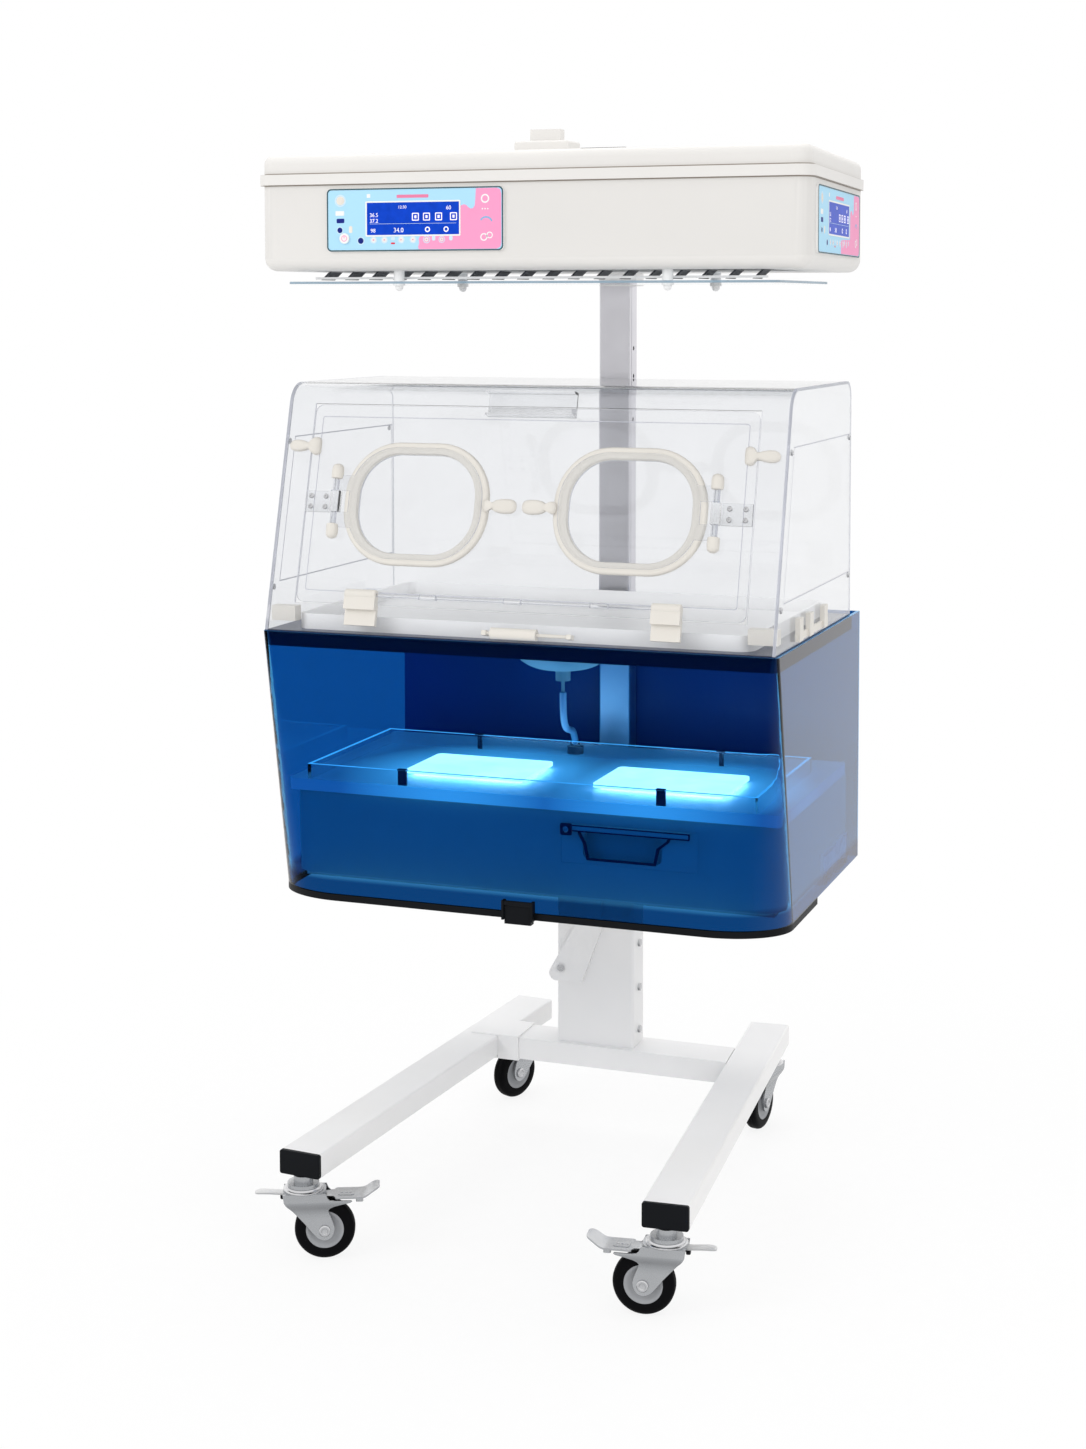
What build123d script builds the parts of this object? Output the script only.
from build123d import *
import math
import os

os.makedirs("parts", exist_ok=True)

# Phototherapy unit on a wheeled stand, in millimetres.
# X runs to the right, Y to the back, Z up from the floor.
# X is zero on the centre line and Y is zero midway along the legs.

# Fits
slide_gap = 0.3
pin_gap = 0.05
swing_gap = 0.5
overrun = 5.0

# Legs and cross tube
leg_depth = 910.0
leg_width = 75.0
leg_height = 40.0
leg_wall = 3.0
leg_edge_round = 4.0
leg_bottom = 140.0
leg_mid_x = 278.0
leg_splay_angle = 4.5
leg_cap_thickness = 8.0
leg_cap_round = 2.5
cross_front = 208.0
cross_depth = 84.0
collar_step = 3.0
collar_width = 20.0

# Casters
wheel_radius = 50.0
wheel_width = 25.0
wheel_round = 8.0
hub_radius = 30.0
hub_recess = 3.0
axle_radius = 6.0
axle_head_radius = 9.0
axle_head_height = 4.0
caster_trail = 35.0
stem_radius = 6.0
stem_end_wall = 2.0
neck_radius = 16.0
neck_height = 12.0
swivel_disc_radius = 26.0
swivel_disc_thickness = 6.0
crown_thickness = 6.0
crown_overhang = 24.0
crown_setback = 2.0
cheek_thickness = 3.0
cheek_gap = 1.5
cheek_foot_radius = 11.0
release_tab_length = 45.0
release_tab_width = 16.0
front_stem_setback = 17.0
rear_stem_setback = 40.0
front_left_turn = 24.0
front_right_turn = 188.0
rear_left_turn = 246.0
rear_right_turn = 262.0

# Brake pedals
pedal_pin_radius = 2.0
pedal_barrel_radius = 4.0
pedal_thickness = 4.0
pedal_pin_x = 28.0
pedal_heel = 14.0
pedal_neck_end = 50.0
pedal_ramp_start = 98.0
pedal_reach = 125.0
pedal_tip_rise = 14.0
pedal_width = 44.0
pedal_side_gap = 1.0

# Column housing and post
housing_left = -110.0
housing_right = 41.0
housing_front = 222.0
housing_back = 285.0
housing_top = 550.0
housing_wall = 4.0
housing_round = 6.0
bolt_head_radius = 7.0
bolt_head_height = 4.0
column_bolt_heights = [209.0, 289.0, 373.0]
post_width = 60.0
post_front = 229.0
post_depth = 42.0
post_wall = 4.0
post_round = 4.0
post_foot = 200.0
post_top = 1599.0
post_hole_radius = 4.0
post_hole_heights = [1354.0, 1434.0, 1485.0]
post_groove_width = 2.0
post_groove_depth = 1.0
post_groove_setback = 8.0

# Chamber bracket
bracket_plate_thickness = 12.0
bracket_plate_skin = 3.0
bracket_plate_rim = 4.0
bracket_middle_half_width = 150.0
bracket_flange_width = 17.0
bracket_plate_front = -200.0
bracket_neck_front = 200.0
flange_front = 20.0
flange_height = 54.0
arm_thickness = 6.0
arm_low_left = -134.0
arm_low_right = -60.0
arm_foot = 296.0
arm_bend = 401.0
arm_bend_left = -75.0
arm_bend_right = -20.0
arm_foot_round = 14.0
arm_bolt_x = -100.0
arm_bolt_z = 322.0

# Lamp cabinet, deck and tray
cabinet_side_gap = 7.0
cabinet_front = -227.0
cabinet_back = 215.0
cabinet_bottom = 586.0
cabinet_height = 144.0
cabinet_wall = 4.0
cabinet_corner = 45.0
deck_front = -236.0
deck_thickness = 20.0
deck_corner = 8.0
tray_side_inset = 37.0
tray_front = -235.0
tray_back = 107.0
tray_wall = 5.0
tray_height = 26.0
lamp_base_height = 6.0
lamp_plate_height = 6.0
lamp_base_inset = 12.0
lamp_front = -160.0
lamp_back = -10.0
left_lamp_shares = [-0.625, -0.075]
right_lamp_shares = [0.23, 0.8175]
lamp_corner = 10.0
clip_width = 16.0
clip_thickness = 4.0
clip_rise = 2.0
front_clip_shares = [-0.56, 0.59]
back_clip_shares = [-0.5475, 0.605]

# Drawer of the cabinet
drawer_left = 62.0
drawer_right = 298.0
drawer_bottom = 642.0
drawer_top = 708.0
drawer_depth = 120.0
drawer_sleeve_wall = 3.0
drawer_bar_left = 69.0
drawer_bar_right = 285.0
drawer_bar_height = 9.0
drawer_bar_reach = 12.0
cup_left = 100.0
cup_right = 237.0
cup_bottom = 650.0
cup_top = 697.0
cup_depth = 20.0
cup_corner = 12.0

# Blue shield
shield_half_width = 450.0
shield_bottom = 567.0
shield_top = 1014.0
shield_wall = 6.0
shield_low_front = -287.0
shield_high_front = -305.0
shield_low_corner_width = 125.0
shield_low_corner_depth = 90.0
shield_high_corner = 10.0
shield_back_y = 280.0
trim_height = 11.0
trim_back = -30.0
trim_thickness = 4.0
clasp_left = -17.0
clasp_right = 38.0
clasp_top = 588.0
clasp_bottom = 549.0
clasp_ear = 4.0
clasp_reach = 13.0
clasp_pin_radius = 2.0
clasp_barrel_radius = 4.5
clasp_thickness = 5.0
clasp_hook_depth = 14.0
clasp_hook_height = 4.0

# Hood frame, floor and hub
frame_band_bottom = 989.0
frame_band_wall = 10.0
frame_plate_thickness = 8.0
frame_lip = 2.0
floor_half_width = 400.0
floor_front = -272.0
floor_back = 195.0
floor_thickness = 4.0
floor_edge_height = 26.0
floor_edge_wall = 5.0
floor_corner = 25.0
hub_x = 0.0
hub_y = -48.0
hub_rim_height = 23.0
hub_bowl_radius = 97.0
hub_bowl_depth = 50.0
hub_bowl_bulge_share = 0.17
hub_bowl_low_radius = 24.0
hub_neck_radius = 13.0
hub_neck_length = 21.0
hub_stem_radius = 3.0
hub_stem_length = 21.0

# Hood
hood_half_width = 445.0
hood_sheet_thickness = 5.0
hood_front = -303.0
hood_back = 221.0
hood_height = 415.0
hood_lean = 14.7
hood_front_round = 45.0
hood_back_round = 30.0

# Front door of the hood, heights measured up from the floor
door_half_width = 393.0
door_bottom = 1065.0
door_top = 1394.0
door_corner = 14.0
door_edge_gap = 2.0
hinge_offset = 10.0
hinge_z = 1080.0
hinge_rod_radius = 3.0
hinge_ear_radius = 7.0
hinge_clip_bottom = 1030.0
hinge_clip_thickness = 8.0
left_clip_low = -296.0
left_clip_high = -240.0
right_clip_low = 241.0
right_clip_high = 290.0
hinge_rod_inset = 6.0
hinge_lug_width = 30.0
hinge_lug_height = 8.0
hinge_lug_places = [-150.0, 0.0, 150.0]
handle_left = -74.0
handle_right = 82.0
handle_bottom = 1378.0
handle_top = 1419.0
handle_wall = 4.0
handle_reach = 18.0
corner_latch_x = 383.0
corner_latch_z = 1323.0
corner_latch_inner = 11.0
corner_latch_outer = 50.0
corner_latch_height = 36.0
corner_latch_waist = 14.0
corner_latch_thickness = 8.0
corner_latch_pin_radius = 4.0
corner_latch_grip_width = 8.0
corner_latch_grip_height = 6.0

# Ports in the door
port_x = 188.0
port_z = 1231.0
port_outer_width = 261.0
port_outer_height = 209.0
port_outer_corner = 95.0
port_inner_width = 211.0
port_inner_height = 168.0
port_inner_corner = 72.0
port_ring_height = 9.0
leaf_width = 241.0
leaf_height = 189.0
leaf_corner = 84.0
leaf_thickness = 4.0
leaf_axis_x = 334.0
leaf_rod_radius = 2.5
leaf_barrel_radius = 5.5
leaf_barrel_start = 18.6
leaf_barrel_end = 44.0
leaf_rod_half_length = 60.0
leaf_knob_start = 46.0
leaf_knob_radius = 7.0
bracket_half_height = 18.0
bracket_outer_x = 393.0
bracket_base_thickness = 4.0
bracket_block_half = 7.0
bracket_block_height = 17.0
port_latch_x = 34.5
port_latch_length = 59.0
port_latch_width = 26.0
port_latch_thickness = 6.0
port_latch_lift = 9.5
port_latch_pin_radius = 3.0
port_latch_boss_radius = 8.0

# Small white fittings of the hood
grip_left = -29.0
grip_right = 50.0
grip_z = 1028.5
grip_radius = 9.5
grip_offset = 12.0
grip_rod_radius = 3.0
grip_rod_left = -45.0
grip_rod_right = 110.0
grip_lug_width = 8.0
block_inner_x = 396.0
block_bottom = 1030.0
block_top = 1055.0
block_front = -285.0
block_depth = 22.0
side_strip_front = -180.0
side_strip_back = 20.0
side_strip_bottom = 1022.0
side_strip_top = 1034.0
side_strip_thickness = 4.0
side_clip_places = [-165.0, -95.0, 5.0]
side_clip_width = 24.0
side_clip_top = 1060.0
side_clip_thickness = 8.0

# Head
head_front = -242.0
head_back = 280.0
head_front_half_width = 482.0
head_back_half_width = 449.0
head_bottom = 1622.0
band_bottom = 1767.0
band_top = 1785.0
band_step = 5.0
lid_top = 1818.0
lid_round = 14.0
lid_wall = 8.0
head_wall = 5.0
head_corner = 26.0
head_bottom_round = 22.0
head_bracket_left = -30.0
head_bracket_right = 42.0
window_half_width = 400.0
window_front = -190.0
window_back = 60.0
louvre_bottom = 1625.0
louvre_height = 20.0
louvre_thickness = 2.0
louvre_count = 11
louvre_rail = 4.0
lamp_tube_radius = 8.0
lamp_tube_z = 1657.0
lamp_tube_count = 7
reflector_z = 1668.0
reflector_thickness = 4.0
glass_half_width = 430.0
glass_front = -239.0
glass_back = 104.0
glass_bottom = 1600.0
glass_thickness = 4.0
glass_corner = 12.0
knob_x = 237.0
knob_front_y = -205.0
knob_back_y = 75.0
knob_stem_radius = 5.0
knob_spacer_radius = 9.0
knob_radius = 10.0
knob_flange = 3.0
knob_bulb_radius = 7.0
knob_low = 1588.0
boss_y = -125.0
boss_plate_width = 95.0
boss_plate_depth = 60.0
boss_plate_height = 20.0
boss_width = 53.0
boss_depth = 22.0
boss_height = 20.0
boss_round = 4.0
pad_left = -33.0
pad_right = 57.0
pad_y = 145.0
pad_depth = 40.0
pad_height = 27.0

# Control panels of the head
panel_left = -351.0
panel_right = -32.0
panel_bottom = 1654.0
panel_top = 1759.0
panel_proud = 4.0
panel_corner = 8.0
screen_left = -277.0
screen_right = -110.0
screen_bottom = 1681.0
screen_top = 1735.0
screen_recess = 1.5
button_x = -318.0
button_z = 1676.0
button_radius = 9.0
button_proud = 3.0
button_travel = 2.0
side_panel_front = -198.0
side_panel_back = 220.0
side_panel_bottom = 1647.0
side_panel_top = 1756.0
side_screen_front = -101.0
side_screen_back = 103.0
side_screen_bottom = 1680.0
side_screen_top = 1732.0

# Hose from the hub to the deck: radius, route and the fitting at its end
hose_radius = 6.0
hose_route = [
    (hub_x, hub_y, 853.0),
    (-9.0, -10.0, 822.0),
    (-20.0, 46.0, 809.0),
    (-32.0, 96.0, 797.0),
    (-38.0, 122.0, 772.0),
]
hose_run_share = 0.45
fitting_radius = 9.0
fitting_length = 20.0
fitting_foot_radius = 15.0
fitting_foot_height = 14.0

# Places worked out from the sizes above
leg_top = leg_bottom + leg_height
splay_sin = math.sin(math.radians(leg_splay_angle))
splay_cos = math.cos(math.radians(leg_splay_angle))
leg_length = (leg_depth - leg_width * splay_sin) / splay_cos
cross_back = cross_front + cross_depth
neck_bottom = leg_bottom - neck_height
mount_bottom = neck_bottom - swivel_disc_thickness
disc_top = mount_bottom - slide_gap
crown_top = disc_top - swivel_disc_thickness
crown_bottom = crown_top - crown_thickness
cheek_inner = wheel_width / 2 + cheek_gap
cheek_outer = cheek_inner + cheek_thickness
pedal_pin_z = (wheel_radius * 2 + crown_bottom) / 2
post_back = post_front + post_depth
post_half = post_width / 2
cabinet_top = cabinet_bottom + cabinet_height
deck_top = cabinet_top + deck_thickness
bracket_bottom = cabinet_bottom - bracket_plate_thickness
front_stem_y = front_stem_setback - leg_depth / 2
rear_stem_y = leg_depth / 2 - rear_stem_setback
shield_inner = shield_half_width - shield_wall
cabinet_half_width = shield_inner - cabinet_side_gap
bracket_plate_half_width = cabinet_half_width - bracket_flange_width
tray_half_width = cabinet_half_width - tray_side_inset
frame_top = shield_top + frame_lip
frame_underside = frame_top - frame_plate_thickness
hub_bowl_top = frame_underside - hub_rim_height
hub_bowl_low = hub_bowl_top - hub_bowl_depth
hub_neck_low = hub_bowl_low - hub_neck_length
hub_stem_low = hub_neck_low - hub_stem_length
hose_points = [(hub_x, hub_y, hub_stem_low), *hose_route]
hood_foot = frame_top
hood_top = hood_foot + hood_height
lean_sin = math.sin(math.radians(hood_lean))
lean_cos = math.cos(math.radians(hood_lean))
lean_tan = lean_sin / lean_cos
leaf_low = port_ring_height + slide_gap
leaf_axis_z = leaf_low + leaf_thickness / 2
glass_top = glass_bottom + glass_thickness
head_slope = (head_front_half_width - head_back_half_width) / (head_back - head_front)

nodes = {}


def block(x_low, x_high, y_low, y_high, z_low, z_high):
    """A box between six named faces."""
    box = Box(x_high - x_low, y_high - y_low, z_high - z_low)
    return Pos((x_low + x_high) / 2, (y_low + y_high) / 2, (z_low + z_high) / 2) * box


def rod_x(x_low, x_high, y, z, radius):
    """A round bar along X."""
    bar = Rot(0, 90, 0) * Cylinder(radius, x_high - x_low)
    return Pos((x_low + x_high) / 2, y, z) * bar


def rod_y(x, y_low, y_high, z, radius):
    """A round bar along Y."""
    bar = Rot(90, 0, 0) * Cylinder(radius, y_high - y_low)
    return Pos(x, (y_low + y_high) / 2, z) * bar


def rod_z(x, y, z_low, z_high, radius):
    """A round bar along Z."""
    return Pos(x, y, (z_low + z_high) / 2) * Cylinder(radius, z_high - z_low)


def rounded_plate(x_low, x_high, y_low, y_high, z_low, z_high, radius):
    """A plate with rounded upright corners."""
    outline = RectangleRounded(x_high - x_low, y_high - y_low, radius)
    plate = extrude(outline, z_high - z_low)
    return Pos((x_low + x_high) / 2, (y_low + y_high) / 2, z_low) * plate


def fused(shapes):
    """One shape made of several."""
    total = shapes[0]
    for shape in shapes[1:]:
        total = total + shape
    return total


def both_sides(shape):
    """The shape and its mirror image across the centre line."""
    return shape + mirror(shape, about=Plane.YZ)


def keep(name, shape):
    """Remember a finished node."""
    nodes[name] = shape
    return shape


# Legs, each a box tube with a closed rear end and a cap at the front


def splayed(side, shape):
    """Put a shape made along Y at a leg's place."""
    turn = Rot(0, 0, side * leg_splay_angle)
    return Pos(side * leg_mid_x, 0, leg_bottom) * turn * shape


def leg_bar(y_low, y_high, inset, radius):
    """A bar with the leg's section, drawn in by the inset."""
    half = leg_width / 2 - inset
    bar = block(-half, half, y_low, y_high, inset, leg_height - inset)
    if radius > 0:
        bar = fillet(bar.edges().filter_by(Axis.Y), radius)
    return bar


leg_front_end = -leg_length / 2
leg_rear_end = leg_length / 2
leg_tube_front = leg_front_end + leg_cap_thickness
leg_outer = leg_bar(leg_tube_front, leg_rear_end, 0, leg_edge_round)
leg_inner = leg_bar(leg_tube_front - overrun, leg_rear_end - leg_wall, leg_wall, 0)
leg_cap = leg_bar(leg_front_end, leg_tube_front, 0, leg_edge_round)
leg_cap = fillet(leg_cap.faces().sort_by(Axis.Y)[0].edges(), leg_cap_round)
leg_solids = []
leg_caps = []
for side, name in ((-1, "leg_left"), (1, "leg_right")):
    leg_solids.append(splayed(side, leg_outer))
    keep(name, splayed(side, leg_outer - leg_inner))
    leg_caps.append(splayed(side, leg_cap))
keep("leg_caps", fused(leg_caps))

cross_tube = block(-leg_mid_x, leg_mid_x, cross_front, cross_back, leg_bottom, leg_top)
collar = block(
    -leg_mid_x,
    -leg_mid_x + leg_width + collar_width,
    cross_front - collar_step,
    cross_back + collar_step,
    leg_bottom - collar_step,
    leg_top + collar_step,
)
leg_envelope = leg_bar(leg_front_end, leg_rear_end, 0, 0)
leg_envelopes = []
for side in (-1, 1):
    wide = splayed(side, leg_envelope)
    leg_envelopes.append(wide)
    outward = Pos(side * leg_width, 0, 0) * wide
    leg_envelopes.append(outward)
collar_frame = collar - fused(leg_envelopes)
cross_half = leg_mid_x - leg_width
cross_hole = block(
    -cross_half,
    cross_half,
    cross_front + leg_wall,
    cross_back - leg_wall,
    leg_bottom + leg_wall,
    leg_top - leg_wall,
)
cross_shape = cross_tube + collar_frame - cross_hole
for wide in leg_envelopes:
    cross_shape = cross_shape - wide
keep("cross_tube", cross_shape.solids().sort_by(SortBy.VOLUME)[-1])

# Caster mounts, forks, wheels and brake pedals


def leg_centre_x(side, y):
    """Where a leg's middle line is at this Y."""
    return side * (leg_mid_x - y * splay_sin / splay_cos)


caster_places = {
    "front_left": (leg_centre_x(-1, front_stem_y), front_stem_y, front_left_turn),
    "front_right": (leg_centre_x(1, front_stem_y), front_stem_y, front_right_turn),
    "rear_left": (leg_centre_x(-1, rear_stem_y), rear_stem_y, rear_left_turn),
    "rear_right": (leg_centre_x(1, rear_stem_y), rear_stem_y, rear_right_turn),
}

stem_top = leg_bottom - stem_end_wall
mount = rod_z(0, 0, neck_bottom, leg_bottom, neck_radius)
mount += rod_z(0, 0, mount_bottom, neck_bottom, swivel_disc_radius)
mount -= rod_z(0, 0, mount_bottom - overrun, stem_top, stem_radius + pin_gap)

fork = rod_z(0, 0, crown_bottom, stem_top - slide_gap, stem_radius)
fork += rod_z(0, 0, crown_bottom, disc_top, swivel_disc_radius)
crown_nose = caster_trail - crown_setback
fork += block(
    -crown_overhang, crown_nose, -cheek_outer, cheek_outer, crown_bottom, crown_top
)
cheek_points = [
    (-crown_overhang + crown_thickness, crown_bottom),
    (crown_nose, crown_bottom),
    (caster_trail + cheek_foot_radius, wheel_radius),
    (caster_trail - cheek_foot_radius, wheel_radius),
]
cheek_outline = Polygon(*cheek_points, align=None)
cheek_outline += Pos(caster_trail, wheel_radius) * Circle(cheek_foot_radius)
for side in (-1, 1):
    middle = side * (cheek_inner + cheek_outer) / 2
    cheek = extrude(Plane.XZ * cheek_outline, cheek_thickness / 2, both=True)
    fork += Pos(0, middle, 0) * cheek
    head_out = side * (cheek_outer + axle_head_height)
    low_y = min(side * cheek_outer, head_out)
    high_y = max(side * cheek_outer, head_out)
    fork += rod_y(caster_trail, low_y, high_y, wheel_radius, axle_head_radius)
fork += rod_y(caster_trail, -cheek_outer, cheek_outer, wheel_radius, axle_radius)
tab_half = release_tab_width / 2
braked_fork = fork + block(
    -crown_overhang - release_tab_length,
    -crown_overhang,
    -tab_half,
    tab_half,
    crown_bottom,
    crown_bottom + cheek_thickness,
)
braked_fork += rod_y(
    pedal_pin_x, -cheek_outer, cheek_outer, pedal_pin_z, pedal_pin_radius
)

wheel = rod_y(0, -wheel_width / 2, wheel_width / 2, 0, wheel_radius)
wheel = fillet(wheel.edges(), wheel_round)
for side in (-1, 1):
    low_y = min(side * (wheel_width / 2 - hub_recess), side * wheel_width)
    high_y = max(side * (wheel_width / 2 - hub_recess), side * wheel_width)
    wheel -= rod_y(0, low_y, high_y, 0, hub_radius)
    boss_low = min(0, side * wheel_width / 2)
    boss_high = max(0, side * wheel_width / 2)
    wheel += rod_y(0, boss_low, boss_high, 0, axle_radius * 2)
wheel -= rod_y(0, -wheel_width, wheel_width, 0, axle_radius + pin_gap)

neck_half = cheek_inner - pedal_side_gap
pedal_low = pedal_pin_z - pedal_thickness / 2
pedal_high = pedal_pin_z + pedal_thickness / 2
pedal = block(pedal_heel, pedal_neck_end, -neck_half, neck_half, pedal_low, pedal_high)
pedal_outline = Polygon(
    (pedal_neck_end, pedal_low),
    (pedal_ramp_start, pedal_low),
    (pedal_reach, pedal_low + pedal_tip_rise),
    (pedal_reach - pedal_thickness, pedal_high + pedal_tip_rise),
    (pedal_ramp_start - pedal_thickness, pedal_high),
    (pedal_neck_end, pedal_high),
    align=None,
)
pedal += extrude(Plane.XZ * pedal_outline, pedal_width / 2, both=True)
pedal += rod_y(pedal_pin_x, -neck_half, neck_half, pedal_pin_z, pedal_barrel_radius)
pedal -= rod_y(
    pedal_pin_x, -cheek_outer, cheek_outer, pedal_pin_z, pedal_pin_radius + pin_gap
)

mounts = []
for place, (x, y, turn) in caster_places.items():
    seat = Pos(x, y, 0) * Rot(0, 0, turn)
    mounts.append(seat * mount)
    has_brake = place.startswith("front")
    keep("caster_fork_" + place, seat * (braked_fork if has_brake else fork))
    keep("caster_wheel_" + place, seat * Pos(caster_trail, 0, wheel_radius) * wheel)
    if has_brake:
        keep("brake_pedal_" + place.replace("front_", ""), seat * pedal)
keep("caster_mounts", fused(mounts))

# Column housing, post and chamber bracket

housing = block(
    housing_left, housing_right, housing_front, housing_back, leg_top, housing_top
)
housing = fillet(housing.edges().filter_by(Axis.Z), housing_round)
bore_half = post_half + slide_gap
housing -= block(
    -bore_half,
    bore_half,
    post_front - slide_gap,
    post_back + slide_gap,
    leg_top + housing_wall,
    housing_top + overrun,
)
housing -= block(
    housing_left + housing_wall,
    -bore_half - housing_wall,
    housing_front + housing_wall,
    housing_back - housing_wall,
    leg_top + housing_wall,
    housing_top - housing_wall,
)
keep("column_housing", housing)

housing_mid_y = (housing_front + housing_back) / 2
bolts = []
for z in column_bolt_heights:
    bolts.append(
        rod_x(housing_right, housing_right + bolt_head_height, housing_mid_y, z, bolt_head_radius)
    )
arm_face = housing_front - arm_thickness
bolts.append(
    rod_y(arm_bolt_x, arm_face - bolt_head_height, arm_face, arm_bolt_z, bolt_head_radius)
)
keep("column_bolts", fused(bolts))

post_mid_y = (post_front + post_back) / 2
post = block(-post_half, post_half, post_front, post_back, post_foot, post_top)
post = fillet(post.edges().filter_by(Axis.Z), post_round)
post -= block(
    -post_half + post_wall,
    post_half - post_wall,
    post_front + post_wall,
    post_back - post_wall,
    post_foot - overrun,
    post_top + overrun,
)
groove_y = post_front + post_groove_setback
post -= block(
    post_half - post_groove_depth,
    post_half + overrun,
    groove_y,
    groove_y + post_groove_width,
    housing_top,
    post_top + overrun,
)
for z in post_hole_heights:
    post -= rod_x(post_half - post_wall - overrun, post_half + overrun, post_mid_y, z, post_hole_radius)
keep("post", post)

bracket = block(
    -bracket_plate_half_width,
    bracket_plate_half_width,
    bracket_plate_front,
    cabinet_back,
    bracket_bottom,
    cabinet_bottom,
)
bracket -= both_sides(
    block(
        bracket_middle_half_width,
        bracket_plate_half_width - bracket_plate_rim,
        bracket_plate_front + bracket_plate_rim,
        bracket_neck_front - bracket_plate_rim,
        bracket_bottom - overrun,
        cabinet_bottom - bracket_plate_skin,
    )
)
bracket += block(
    housing_left,
    housing_right,
    bracket_neck_front,
    post_front - slide_gap,
    housing_top,
    bracket_bottom,
)
flange = block(
    bracket_plate_half_width,
    shield_inner,
    flange_front,
    bracket_neck_front,
    bracket_bottom,
    cabinet_bottom,
)
flange += block(
    cabinet_half_width,
    shield_inner,
    flange_front,
    bracket_neck_front,
    bracket_bottom,
    bracket_bottom + flange_height,
)
bracket += both_sides(flange)
arm_outline = Polygon(
    (arm_low_left, arm_foot),
    (arm_low_right, arm_foot),
    (arm_bend_right, arm_bend),
    (arm_bend_right, bracket_bottom),
    (arm_bend_left, bracket_bottom),
    (arm_bend_left, arm_bend),
    align=None,
)
arm_outline = fillet(arm_outline.vertices().sort_by(Axis.X)[0], arm_foot_round)
arm = extrude(Plane.XZ * arm_outline, arm_thickness)
bracket += Pos(0, housing_front, 0) * arm
keep("chamber_bracket", bracket)

# Cabinet with its drawer, the deck, lamps and the clear tray

cabinet = block(
    -cabinet_half_width,
    cabinet_half_width,
    cabinet_front,
    cabinet_back,
    cabinet_bottom,
    cabinet_top,
)
front_edges = cabinet.edges().filter_by(Axis.Z).group_by(Axis.Y)[0]
cabinet = fillet(front_edges, cabinet_corner)
cavity = block(
    -cabinet_half_width + cabinet_wall,
    cabinet_half_width - cabinet_wall,
    cabinet_front + cabinet_wall,
    cabinet_back - cabinet_wall,
    cabinet_bottom + cabinet_wall,
    cabinet_top - cabinet_wall,
)
cavity_edges = cavity.edges().filter_by(Axis.Z).group_by(Axis.Y)[0]
cavity = fillet(cavity_edges, cabinet_corner - cabinet_wall)
pocket = block(
    drawer_left - slide_gap,
    drawer_right + slide_gap,
    cabinet_front - overrun,
    cabinet_front + drawer_depth + slide_gap,
    drawer_bottom - slide_gap,
    drawer_top + slide_gap,
)
sleeve = block(
    drawer_left - slide_gap - drawer_sleeve_wall,
    drawer_right + slide_gap + drawer_sleeve_wall,
    cabinet_front + cabinet_wall,
    cabinet_front + drawer_depth + slide_gap + drawer_sleeve_wall,
    drawer_bottom - slide_gap - drawer_sleeve_wall,
    drawer_top + slide_gap + drawer_sleeve_wall,
)
keep("lamp_cabinet", cabinet - (cavity - sleeve) - pocket)

drawer = block(
    drawer_left,
    drawer_right,
    cabinet_front,
    cabinet_front + drawer_depth,
    drawer_bottom,
    drawer_top,
)
drawer += block(
    drawer_bar_left,
    drawer_bar_right,
    cabinet_front - drawer_bar_reach,
    cabinet_front,
    drawer_top - drawer_bar_height,
    drawer_top,
)
cup = block(
    cup_left,
    cup_right,
    cabinet_front - overrun,
    cabinet_front + cup_depth,
    cup_bottom,
    cup_top,
)
cup = fillet(cup.edges().filter_by(Axis.Y), cup_corner)
keep("cabinet_drawer", drawer - cup)

keep(
    "lamp_deck",
    rounded_plate(
        -cabinet_half_width,
        cabinet_half_width,
        deck_front,
        cabinet_back,
        cabinet_top,
        deck_top,
        deck_corner,
    ),
)

lamp_top = deck_top + lamp_base_height + lamp_plate_height
lamps = []
for low_share, high_share in (left_lamp_shares, right_lamp_shares):
    low = low_share * tray_half_width
    high = high_share * tray_half_width
    lamps.append(
        block(
            low + lamp_base_inset,
            high - lamp_base_inset,
            lamp_front + lamp_base_inset,
            lamp_back - lamp_base_inset,
            deck_top,
            deck_top + lamp_base_height,
        )
    )
    lamps.append(
        rounded_plate(
            low,
            high,
            lamp_front,
            lamp_back,
            deck_top + lamp_base_height,
            lamp_top,
            lamp_corner,
        )
    )
keep("deck_lamps", fused(lamps))

tray_top = deck_top + tray_height
tray = block(-tray_half_width, tray_half_width, tray_front, tray_back, deck_top, tray_top)
tray -= block(
    -tray_half_width + tray_wall,
    tray_half_width - tray_wall,
    tray_front + tray_wall,
    tray_back - tray_wall,
    deck_top - overrun,
    tray_top + overrun,
)
keep("tray_walls", tray)

clips = []
clip_half = clip_width / 2
clip_top = tray_top + clip_rise
for share in front_clip_shares:
    x = share * tray_half_width
    inner = tray_front + tray_wall
    clips.append(
        block(x - clip_half, x + clip_half, inner, inner + clip_thickness, deck_top, clip_top)
    )
    clips.append(
        block(x - clip_half, x + clip_half, tray_front, inner, tray_top, clip_top)
    )
for share in back_clip_shares:
    x = share * tray_half_width
    outer = tray_back + clip_thickness
    clips.append(
        block(x - clip_thickness, x + clip_thickness, tray_back, outer, deck_top, clip_top)
    )
    clips.append(
        block(x - clip_half, x + clip_half, tray_back - tray_wall, outer, tray_top, clip_top)
    )
keep("tray_clips", fused(clips))

# Blue shield: a bent sheet round the front and sides, with a back plate


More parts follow.
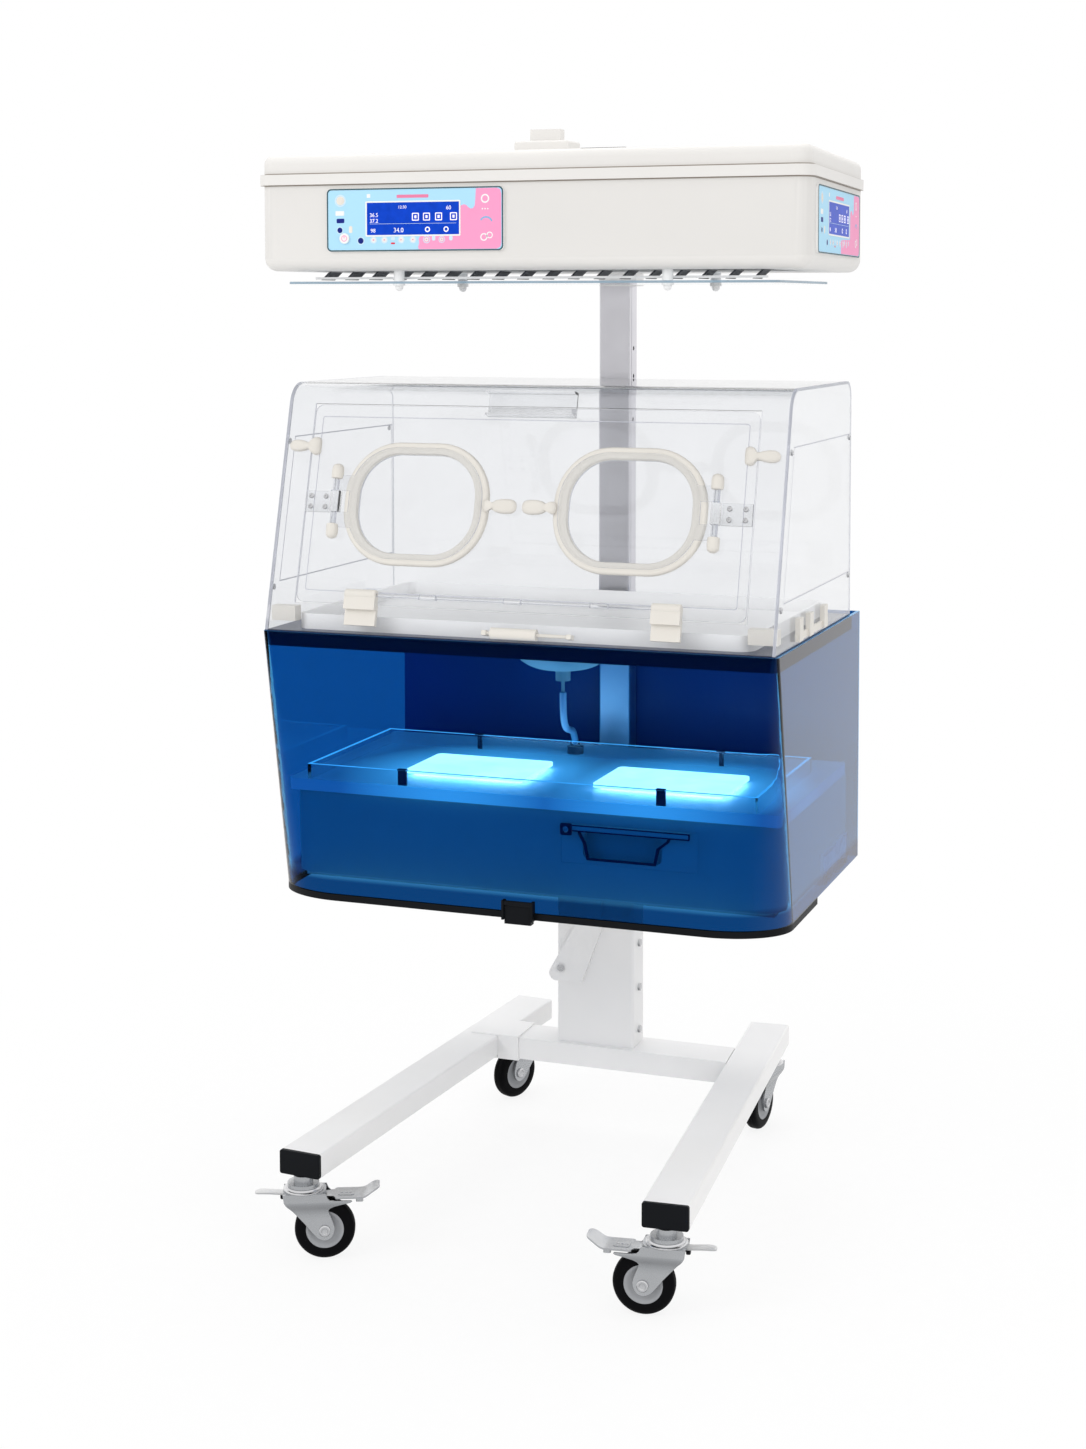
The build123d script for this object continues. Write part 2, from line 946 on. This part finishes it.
def shield_section(z, half_width, front, back, corner_width, corner_depth):
    """The shield's outline at one height, with oval front corners."""
    corner_x = half_width - corner_width
    corner_y = front + corner_depth
    with BuildSketch() as section:
        with BuildLine():
            Line((-half_width, back), (-half_width, corner_y))
            EllipticalCenterArc((-corner_x, corner_y), corner_width, corner_depth, 180)
            Line((-corner_x, front), (corner_x, front))
            EllipticalCenterArc((corner_x, corner_y), corner_width, corner_depth, 270)
            Line((half_width, corner_y), (half_width, back))
            Line((half_width, back), (-half_width, back))
        make_face()
    return Pos(0, 0, z) * section.sketch


def shield_solid(inset, back):
    """The whole space inside the shield, drawn in by the inset."""
    low = shield_section(
        shield_bottom,
        shield_half_width - inset,
        shield_low_front + inset,
        back,
        shield_low_corner_width - inset,
        shield_low_corner_depth - inset,
    )
    high = shield_section(
        shield_top,
        shield_half_width - inset,
        shield_high_front + inset,
        back,
        shield_high_corner - inset,
        shield_high_corner - inset,
    )
    return loft([low, high], ruled=True)


shield_outer = shield_solid(0, shield_back_y)
shield_space = shield_solid(shield_wall, shield_back_y + overrun)
keep("shield_shell", shield_outer - shield_space)
keep(
    "shield_back",
    block(
        -shield_inner,
        shield_inner,
        shield_back_y - shield_wall,
        shield_back_y,
        shield_bottom,
        shield_top,
    ),
)

trim_front = shield_low_front - trim_thickness
trim_bottom = shield_bottom - trim_height
trim_outline = shield_section(
    trim_bottom,
    shield_half_width,
    shield_low_front,
    trim_back,
    shield_low_corner_width,
    shield_low_corner_depth,
)
trim_hole = shield_section(
    trim_bottom,
    shield_inner,
    shield_low_front + shield_wall,
    trim_back + overrun,
    shield_low_corner_width - shield_wall,
    shield_low_corner_depth - shield_wall,
)
trim = extrude(trim_outline, trim_height) - extrude(trim_hole, trim_height)
clasp_pin_y = trim_front - clasp_barrel_radius + slide_gap
clasp_pin_z = clasp_top - clasp_barrel_radius - slide_gap
ear_front = shield_low_front - clasp_reach
for low, high in (
    (clasp_left, clasp_left + clasp_ear),
    (clasp_right - clasp_ear, clasp_right),
):
    trim += block(low, high, ear_front, shield_low_front + shield_wall, trim_bottom, clasp_top)
trim -= shield_outer
trim += rod_x(clasp_left, clasp_right, clasp_pin_y, clasp_pin_z, clasp_pin_radius)
keep("shield_trim", trim)

clasp_low_x = clasp_left + clasp_ear + slide_gap
clasp_high_x = clasp_right - clasp_ear - slide_gap
clasp_back = trim_front - slide_gap
clasp = block(
    clasp_low_x, clasp_high_x, clasp_back - clasp_thickness, clasp_back, clasp_bottom, clasp_pin_z
)
clasp += rod_x(clasp_low_x, clasp_high_x, clasp_pin_y, clasp_pin_z, clasp_barrel_radius)
clasp += block(
    clasp_low_x,
    clasp_high_x,
    clasp_back - clasp_thickness,
    clasp_back - clasp_thickness + clasp_hook_depth,
    clasp_bottom,
    clasp_bottom + clasp_hook_height,
)
clasp -= rod_x(clasp_left, clasp_right, clasp_pin_y, clasp_pin_z, clasp_pin_radius + pin_gap)
keep("shield_clip", clasp)

# Frame in the shield's rim, the white floor tray and the hub under it

frame_front = shield_high_front
frame = block(
    -shield_half_width, shield_half_width, frame_front, hood_back, frame_band_bottom, shield_top
)
frame = frame & shield_space
frame -= block(
    -shield_inner + frame_band_wall,
    shield_inner - frame_band_wall,
    frame_front + shield_wall + frame_band_wall,
    hood_back - frame_band_wall,
    frame_band_bottom - overrun,
    frame_top - frame_plate_thickness,
)
frame += block(
    -hood_half_width, hood_half_width, hood_front, hood_back, shield_top, frame_top
)
keep("hood_frame", frame)

floor = rounded_plate(
    -floor_half_width,
    floor_half_width,
    floor_front,
    floor_back,
    frame_top,
    frame_top + floor_edge_height,
    floor_corner,
)
floor -= rounded_plate(
    -floor_half_width + floor_edge_wall,
    floor_half_width - floor_edge_wall,
    floor_front + floor_edge_wall,
    floor_back - floor_edge_wall,
    frame_top + floor_thickness,
    frame_top + floor_edge_height + overrun,
    floor_corner - floor_edge_wall,
)
keep("hood_floor", floor)

hub_bowl_mid_radius = (
    hub_bowl_radius + hub_bowl_low_radius
) / 2 + hub_bowl_bulge_share * hub_bowl_depth
hub_bowl_mid = (hub_bowl_top + hub_bowl_low) / 2 - hub_bowl_bulge_share * (
    hub_bowl_radius - hub_bowl_low_radius
)
with BuildSketch(Plane.XZ) as hub_profile:
    with BuildLine():
        Line((0, frame_underside), (hub_bowl_radius, frame_underside))
        Line((hub_bowl_radius, frame_underside), (hub_bowl_radius, hub_bowl_top))
        ThreePointArc(
            (hub_bowl_radius, hub_bowl_top),
            (hub_bowl_mid_radius, hub_bowl_mid),
            (hub_bowl_low_radius, hub_bowl_low),
        )
        Line((hub_bowl_low_radius, hub_bowl_low), (hub_neck_radius, hub_bowl_low))
        Line((hub_neck_radius, hub_bowl_low), (hub_neck_radius, hub_neck_low))
        Line((hub_neck_radius, hub_neck_low), (hub_stem_radius, hub_neck_low))
        Line((hub_stem_radius, hub_neck_low), (hub_stem_radius, hub_stem_low))
        Line((hub_stem_radius, hub_stem_low), (0, hub_stem_low))
        Line((0, hub_stem_low), (0, frame_underside))
    make_face()
hub = revolve(hub_profile.sketch, axis=Axis.Z)
keep("hood_hub", Pos(hub_x, hub_y, 0) * hub)

# Hose: straight runs joined by tangent arcs as large as the runs allow


def hose_radii(points):
    """The arc at each inner point of the route."""
    radii = []
    for index in range(1, len(points) - 1):
        before = Vector(points[index]) - Vector(points[index - 1])
        after = Vector(points[index + 1]) - Vector(points[index])
        turn = math.radians(before.get_angle(after))
        shorter = min(before.length, after.length)
        radii.append(hose_run_share * shorter / math.tan(turn / 2))
    return radii


radii = hose_radii(hose_points)
print("hose radii", [round(radius, 1) for radius in radii])
hose_path = FilletPolyline(*hose_points, radius=radii)
hose_start = Plane(origin=hose_path @ 0, z_dir=hose_path % 0)
hose = sweep(hose_start * Circle(hose_radius), path=hose_path)
section_volume = math.pi * hose_radius**2 * hose_path.length
print("hose volume over section times length", round(hose.volume / section_volume, 4))
print("hose length", round(hose_path.length, 1))
keep("hose", hose)

hose_end = Vector(hose_points[-1])
hose_way = (hose_end - Vector(hose_points[-2])).normalized()
nozzle_plane = Plane(origin=hose_end, z_dir=hose_way)
nozzle = extrude(nozzle_plane * Circle(fitting_radius), fitting_length)
foot_centre = hose_end + hose_way * (fitting_length - fitting_radius)
fitting = nozzle + rod_z(
    foot_centre.X, foot_centre.Y, deck_top, deck_top + fitting_foot_height, fitting_foot_radius
)
fitting -= block(
    foot_centre.X - fitting_length,
    foot_centre.X + fitting_length,
    foot_centre.Y - fitting_length,
    foot_centre.Y + fitting_length,
    deck_top - fitting_length,
    deck_top,
)
keep("hose_fitting", fitting)

# Hood: one bent sheet for the front, top and back, and two side sheets


def hood_outline(inset):
    """The hood's side view, drawn in by the inset."""
    top = hood_top - inset
    slant = inset / lean_cos
    outline = Polygon(
        (hood_front + slant, hood_foot),
        (hood_front + slant + (top - hood_foot) * lean_tan, top),
        (hood_back - inset, top),
        (hood_back - inset, hood_foot),
        align=None,
    )
    top_corners = outline.vertices().group_by(Axis.Y)[-1].sort_by(Axis.X)
    outline = fillet(top_corners[0], hood_front_round - inset)
    back_corner = outline.vertices().group_by(Axis.Y)[-1].sort_by(Axis.X)[-1]
    return fillet(back_corner, hood_back_round - inset)


door_plane = Plane(
    origin=(0, hood_front, hood_foot), x_dir=(1, 0, 0), z_dir=(0, -lean_cos, lean_sin)
)
door_place = door_plane.location


def up(z):
    """Distance along the slanted front to a height above the floor."""
    return (z - hood_foot) / lean_cos


def slant_block(x_low, x_high, z_low, z_high, out_low, out_high):
    """A box on the slanted front, between two heights and two offsets."""
    return door_place * block(x_low, x_high, up(z_low), up(z_high), out_low, out_high)


def slant_plate(width, height, corner, out_low, out_high):
    """A rounded plate on the slanted front, about its own centre."""
    plate = extrude(RectangleRounded(width, height, corner), out_high - out_low)
    return Pos(0, 0, out_low) * plate


sheet_half = hood_half_width - hood_sheet_thickness
hood_face = Plane.YZ * hood_outline(0)
hood_hollow = Plane.YZ * hood_outline(hood_sheet_thickness)
sheet = extrude(hood_face, sheet_half, both=True)
sheet -= extrude(hood_hollow, sheet_half + overrun, both=True)
door_hole_half = door_half_width + door_edge_gap
sheet -= slant_block(
    -door_hole_half,
    door_hole_half,
    door_bottom - door_edge_gap,
    door_top + door_edge_gap,
    -hood_sheet_thickness - overrun,
    overrun,
)
sheet -= block(
    -hood_half_width,
    hood_half_width,
    hood_front + hood_sheet_thickness * 2,
    hood_back - hood_sheet_thickness,
    hood_foot - overrun,
    hood_foot + hood_sheet_thickness,
)
keep("hood_sheet", sheet)

side_way = Axis.X.direction
side_sheet = Pos(sheet_half, 0, 0) * extrude(hood_face, hood_sheet_thickness, dir=side_way)
keep("hood_side_right", side_sheet)
keep("hood_side_left", mirror(side_sheet, about=Plane.YZ))

# Front door with its hinge rod, handle, port rings and port hinges

door_height = up(door_top) - up(door_bottom)
door_middle = (up(door_top) + up(door_bottom)) / 2
door = Pos(0, door_middle, 0) * slant_plate(
    door_half_width * 2, door_height, door_corner, -hood_sheet_thickness, 0
)
port_middle = up(port_z)
for side in (-1, 1):
    door -= Pos(side * port_x, port_middle, 0) * slant_plate(
        port_inner_width, port_inner_height, port_inner_corner, -overrun * 2, overrun
    )
    door -= rod_z(
        side * corner_latch_x,
        up(corner_latch_z),
        -overrun * 2,
        overrun,
        corner_latch_pin_radius + pin_gap,
    )
rod_low = left_clip_low + hinge_rod_inset
rod_high = right_clip_high - hinge_rod_inset
hinge_rod = rod_x(rod_low, rod_high, up(hinge_z), hinge_offset, hinge_rod_radius)
door += hinge_rod
lug_half = hinge_lug_width / 2
for x in hinge_lug_places:
    door += block(
        x - lug_half,
        x + lug_half,
        up(hinge_z) - hinge_lug_height / 2,
        up(hinge_z) + hinge_lug_height / 2,
        0,
        hinge_offset,
    )
keep("front_door", door_place * door)

handle = block(
    handle_left, handle_right, up(handle_bottom), up(door_top), 0, handle_wall
)
handle += block(
    handle_left,
    handle_right,
    up(door_top),
    up(handle_top),
    swing_gap,
    handle_wall,
)
for low in (up(handle_top) - handle_wall, up(handle_bottom)):
    handle += block(
        handle_left, handle_right, low, low + handle_wall, swing_gap, handle_reach
    )
keep("door_handle", door_place * handle)

rings = []
hinges = []
for side in (-1, 1):
    ring = slant_plate(
        port_outer_width, port_outer_height, port_outer_corner, 0, port_ring_height
    )
    ring -= slant_plate(
        port_inner_width, port_inner_height, port_inner_corner, -overrun, port_ring_height + overrun
    )
    rings.append(Pos(side * port_x, port_middle, 0) * ring)
    base_low = leaf_axis_x - bracket_block_half
    hinge = block(
        base_low, bracket_outer_x, -bracket_half_height, bracket_half_height, 0, bracket_base_thickness
    )
    hinge += block(
        base_low,
        leaf_axis_x + bracket_block_half,
        -bracket_half_height,
        bracket_half_height,
        0,
        bracket_block_height,
    )
    hinge += rod_y(
        leaf_axis_x, -leaf_rod_half_length, leaf_rod_half_length, leaf_axis_z, leaf_rod_radius
    )
    for end in (-1, 1):
        low = min(end * leaf_knob_start, end * leaf_rod_half_length)
        high = max(end * leaf_knob_start, end * leaf_rod_half_length)
        hinge += rod_y(leaf_axis_x, low, high, leaf_axis_z, leaf_knob_radius)
    boss_top = port_latch_lift - slide_gap
    hinge_parts = [hinge]
    latch_boss = rod_z(port_latch_x, 0, 0, boss_top, port_latch_boss_radius)
    latch_boss += rod_z(
        port_latch_x,
        0,
        0,
        port_latch_lift + port_latch_thickness + slide_gap,
        port_latch_pin_radius,
    )
    hinge_parts.append(latch_boss)
    placed = Pos(0, port_middle, 0) * fused(hinge_parts)
    if side < 0:
        placed = mirror(placed, about=Plane.YZ)
    hinges.append(placed)
keep("port_rings", door_place * fused(rings))
keep("port_hinges", door_place * fused(hinges))

# Leaves and latches of the ports, and the two corner latches

leaf = Pos(port_x, 0, 0) * slant_plate(
    leaf_width, leaf_height, leaf_corner, leaf_low, leaf_low + leaf_thickness
)
leaf_edge = port_x + leaf_width / 2 - leaf_barrel_radius * 2
for end in (-1, 1):
    low = min(end * leaf_barrel_start, end * leaf_barrel_end)
    high = max(end * leaf_barrel_start, end * leaf_barrel_end)
    leaf += block(
        leaf_edge, leaf_axis_x, low, high, leaf_low, leaf_low + leaf_thickness
    )
    leaf += rod_y(leaf_axis_x, low, high, leaf_axis_z, leaf_barrel_radius)
leaf -= rod_y(
    leaf_axis_x,
    -leaf_rod_half_length,
    leaf_rod_half_length,
    leaf_axis_z,
    leaf_rod_radius + pin_gap,
)
latch = extrude(SlotOverall(port_latch_length, port_latch_width), port_latch_thickness)
latch -= rod_z(
    0, 0, -overrun, port_latch_thickness + overrun, port_latch_pin_radius + pin_gap
)
latch = Pos(port_latch_x, 0, port_latch_lift) * latch

wing_half = corner_latch_height / 2
waist_half = corner_latch_waist / 2
wing_outline = Polygon(
    (-corner_latch_inner, -waist_half),
    (corner_latch_inner, -waist_half),
    (corner_latch_outer, -wing_half),
    (corner_latch_outer, wing_half),
    (corner_latch_inner, waist_half),
    (-corner_latch_inner, waist_half),
    align=None,
)
wing = extrude(wing_outline, corner_latch_thickness)
wing = fillet(wing.edges().filter_by(Axis.Z), corner_latch_pin_radius)
wing += rod_z(0, 0, 0, corner_latch_thickness, corner_latch_inner)
grip_half = corner_latch_grip_width / 2
wing += block(
    -corner_latch_inner + grip_half,
    corner_latch_inner - grip_half,
    -grip_half,
    grip_half,
    corner_latch_thickness,
    corner_latch_thickness + corner_latch_grip_height,
)
wing = Pos(0, 0, swing_gap) * wing
wing += rod_z(0, 0, -hood_sheet_thickness, swing_gap, corner_latch_pin_radius)
wing = Pos(corner_latch_x, up(corner_latch_z), 0) * wing

for side, name in ((-1, "left"), (1, "right")):
    for label, shape in (
        ("port_leaf_", Pos(0, port_middle, 0) * leaf),
        ("port_latch_", Pos(0, port_middle, 0) * latch),
        ("corner_latch_", wing),
    ):
        placed = mirror(shape, about=Plane.YZ) if side < 0 else shape
        keep(label + name, door_place * placed)

# White fittings: hinge clips, front grip, inner blocks and side clips

clip_parts = []
clip_upper = door_bottom - door_edge_gap
for low, high in ((left_clip_low, left_clip_high), (right_clip_low, right_clip_high)):
    clip = block(low, high, up(hinge_clip_bottom), up(clip_upper), 0, hinge_clip_thickness)
    clip += block(
        low,
        high,
        up(clip_upper) - hinge_clip_thickness,
        up(hinge_z),
        hinge_offset - hinge_ear_radius,
        hinge_offset + hinge_ear_radius,
    )
    clip += rod_x(low, high, up(hinge_z), hinge_offset, hinge_ear_radius)
    clip -= rod_x(
        rod_low - slide_gap,
        rod_high + slide_gap,
        up(hinge_z),
        hinge_offset,
        hinge_rod_radius + pin_gap,
    )
    clip_parts.append(clip)
grip = rod_x(grip_left, grip_right, up(grip_z), grip_offset, grip_radius)
grip += rod_x(grip_rod_left, grip_rod_right, up(grip_z), grip_offset, grip_rod_radius)
for low in (grip_rod_left, grip_rod_right - grip_lug_width):
    grip += block(
        low,
        low + grip_lug_width,
        up(grip_z) - grip_lug_width / 2,
        up(grip_z) + grip_lug_width / 2,
        0,
        grip_offset + grip_lug_width / 2,
    )
clip_parts.append(grip)
fittings = door_place * fused(clip_parts)
inner_block = block(
    block_inner_x, sheet_half, block_front, block_front + block_depth, block_bottom, block_top
)
fittings += both_sides(inner_block)
strip_outer = hood_half_width + side_strip_thickness
fittings += block(
    hood_half_width,
    strip_outer,
    side_strip_front,
    side_strip_back,
    side_strip_bottom,
    side_strip_top,
)
for y in side_clip_places:
    fittings += block(
        hood_half_width,
        hood_half_width + side_clip_thickness,
        y - side_clip_width / 2,
        y + side_clip_width / 2,
        side_strip_bottom,
        side_clip_top,
    )
keep("hood_fittings", fittings)

# Head: housing, band, lid, lamp window, glass and knobs


def head_plan(step, front_step, back_step):
    """The head's plan, a trapezoid, grown by the steps."""
    front = head_front - front_step
    back = head_back + back_step
    front_half = head_front_half_width + step + front_step * head_slope
    back_half = head_back_half_width + step
    return Polygon(
        (-front_half, front), (front_half, front), (back_half, back), (-back_half, back),
        align=None,
    )


def head_slab(step, front_step, back_step, z_low, z_high, corner):
    """A slab of the head with round upright corners."""
    outline = head_plan(step, front_step, back_step)
    outline = fillet(outline.vertices(), corner)
    return Pos(0, 0, z_low) * extrude(outline, z_high - z_low)


housing_slab = head_slab(0, 0, 0, head_bottom, band_bottom, head_corner)
bottom_edges = housing_slab.faces().sort_by(Axis.Z)[0].edges()
head_shell = fillet(bottom_edges, min(head_bottom_round, head_corner - pin_gap))
head_shell += head_slab(
    band_step, band_step, 0, band_bottom, band_top, head_corner
)
head_space = head_slab(
    -head_wall,
    -head_wall,
    -head_wall,
    head_bottom + head_wall,
    band_top + overrun,
    head_corner - head_wall,
)
space_edges = head_space.faces().sort_by(Axis.Z)[0].edges()
head_shell -= fillet(space_edges, head_bottom_round - head_wall)
head_shell -= block(
    -window_half_width,
    window_half_width,
    window_front,
    window_back,
    head_bottom - overrun,
    head_bottom + head_wall + overrun,
)
keep("head_housing", head_shell)

lid = head_slab(0, 0, 0, band_top, lid_top, head_corner)
lid = fillet(lid.faces().sort_by(Axis.Z)[-1].edges(), lid_round)
boss_half = boss_plate_width / 2
boss = block(
    -boss_half,
    boss_half,
    boss_y - boss_plate_depth / 2,
    boss_y + boss_plate_depth / 2,
    lid_top,
    lid_top + boss_plate_height,
)
boss = fillet(boss.faces().sort_by(Axis.Z)[-1].edges(), boss_round)
boss_top_z = lid_top + boss_plate_height + boss_height
boss += block(
    -boss_width / 2,
    boss_width / 2,
    boss_y - boss_depth / 2,
    boss_y + boss_depth / 2,
    lid_top + boss_plate_height,
    boss_top_z,
)
keep("lid_boss", boss)
lid_space = head_slab(
    -lid_wall, -lid_wall, -lid_wall, band_top - overrun, lid_top - lid_wall, head_corner - lid_wall
)
keep("head_lid", lid - lid_space)
pad = block(
    pad_left, pad_right, pad_y - pad_depth / 2, pad_y + pad_depth / 2, lid_top, lid_top + pad_height
)
keep("head_pad", fillet(pad.faces().sort_by(Axis.Z)[-1].edges(), boss_round))

keep(
    "head_bracket",
    block(head_bracket_left, head_bracket_right, post_front, post_back, post_top, head_bottom),
)

reflector = block(
    -window_half_width,
    window_half_width,
    window_front,
    window_back,
    reflector_z,
    reflector_z + reflector_thickness,
)
for side in (-1, 1):
    low = min(side * window_half_width, side * (window_half_width - louvre_rail))
    high = max(side * window_half_width, side * (window_half_width - louvre_rail))
    reflector += block(low, high, window_front, window_back, louvre_bottom, reflector_z)
louvre_pitch = (window_back - window_front) / (louvre_count - 1)
for index in range(louvre_count):
    y = window_front + index * louvre_pitch
    y = max(window_front, min(y - louvre_thickness / 2, window_back - louvre_thickness))
    reflector += block(
        -window_half_width,
        window_half_width,
        y,
        y + louvre_thickness,
        louvre_bottom,
        louvre_bottom + louvre_height,
    )
keep("head_reflector", reflector)

tube_half = window_half_width - louvre_rail
tube_pitch = (window_back - window_front) / lamp_tube_count
tubes = []
for index in range(lamp_tube_count):
    y = window_front + (index + 1 / 2) * tube_pitch
    tubes.append(rod_x(-tube_half, tube_half, y, lamp_tube_z, lamp_tube_radius))
keep("head_lamps", fused(tubes))

glass = rounded_plate(
    -glass_half_width, glass_half_width, glass_front, glass_back, glass_bottom, glass_top, glass_corner
)
knobs = []
for x in (-knob_x, knob_x):
    for y in (knob_front_y, knob_back_y):
        glass -= rod_z(
            x, y, glass_bottom - overrun, glass_top + overrun, knob_stem_radius + pin_gap
        )
        knob = rod_z(x, y, knob_low + knob_bulb_radius, head_bottom, knob_stem_radius)
        knob += rod_z(x, y, glass_top, head_bottom, knob_spacer_radius)
        knob += rod_z(x, y, glass_bottom - knob_flange, glass_bottom, knob_radius)
        knob += Pos(x, y, knob_low + knob_bulb_radius) * Sphere(knob_bulb_radius)
        knobs.append(knob)
keep("head_glass", glass)
keep("head_knobs", fused(knobs))

# Control panels with their screens, and the power button

panel = block(
    panel_left, panel_right, head_front - panel_proud, head_front, panel_bottom, panel_top
)
panel = fillet(panel.edges().filter_by(Axis.Y), panel_corner)
panel -= block(
    screen_left,
    screen_right,
    head_front - panel_proud - overrun,
    head_front - panel_proud + screen_recess,
    screen_bottom,
    screen_top,
)
panel -= rod_y(
    button_x, head_front - panel_proud - overrun, head_front, button_z, button_radius
)
keep("front_panel", panel)
button_back = head_front - slide_gap - button_travel
keep(
    "power_button",
    rod_y(
        button_x,
        head_front - panel_proud - button_proud,
        button_back,
        button_z,
        button_radius - slide_gap,
    ),
)

side_angle = math.degrees(math.atan(head_slope))
side_mid_y = (side_panel_front + side_panel_back) / 2
side_mid_x = head_front_half_width - (side_mid_y - head_front) * head_slope
side_half = (side_panel_back - side_panel_front) / 2
side_panel = block(0, panel_proud, -side_half, side_half, side_panel_bottom, side_panel_top)
side_panel = fillet(side_panel.edges().filter_by(Axis.X), panel_corner)
side_panel -= block(
    panel_proud - screen_recess,
    panel_proud + overrun,
    side_screen_front - side_mid_y,
    side_screen_back - side_mid_y,
    side_screen_bottom,
    side_screen_top,
)
keep("side_panel", Pos(side_mid_x, side_mid_y, 0) * Rot(0, 0, side_angle) * side_panel)

# The whole model is centred in depth, and each node is written to its file

boxes = [shape.bounding_box() for shape in nodes.values()]
front_reach = min(box.min.Y for box in boxes)
back_reach = max(box.max.Y for box in boxes)
depth_shift = -(front_reach + back_reach) / 2
print("depth shift", round(depth_shift, 4))
for name, shape in nodes.items():
    export_step(Pos(0, depth_shift, 0) * shape, "parts/" + name + ".step")
print("nodes", len(nodes))
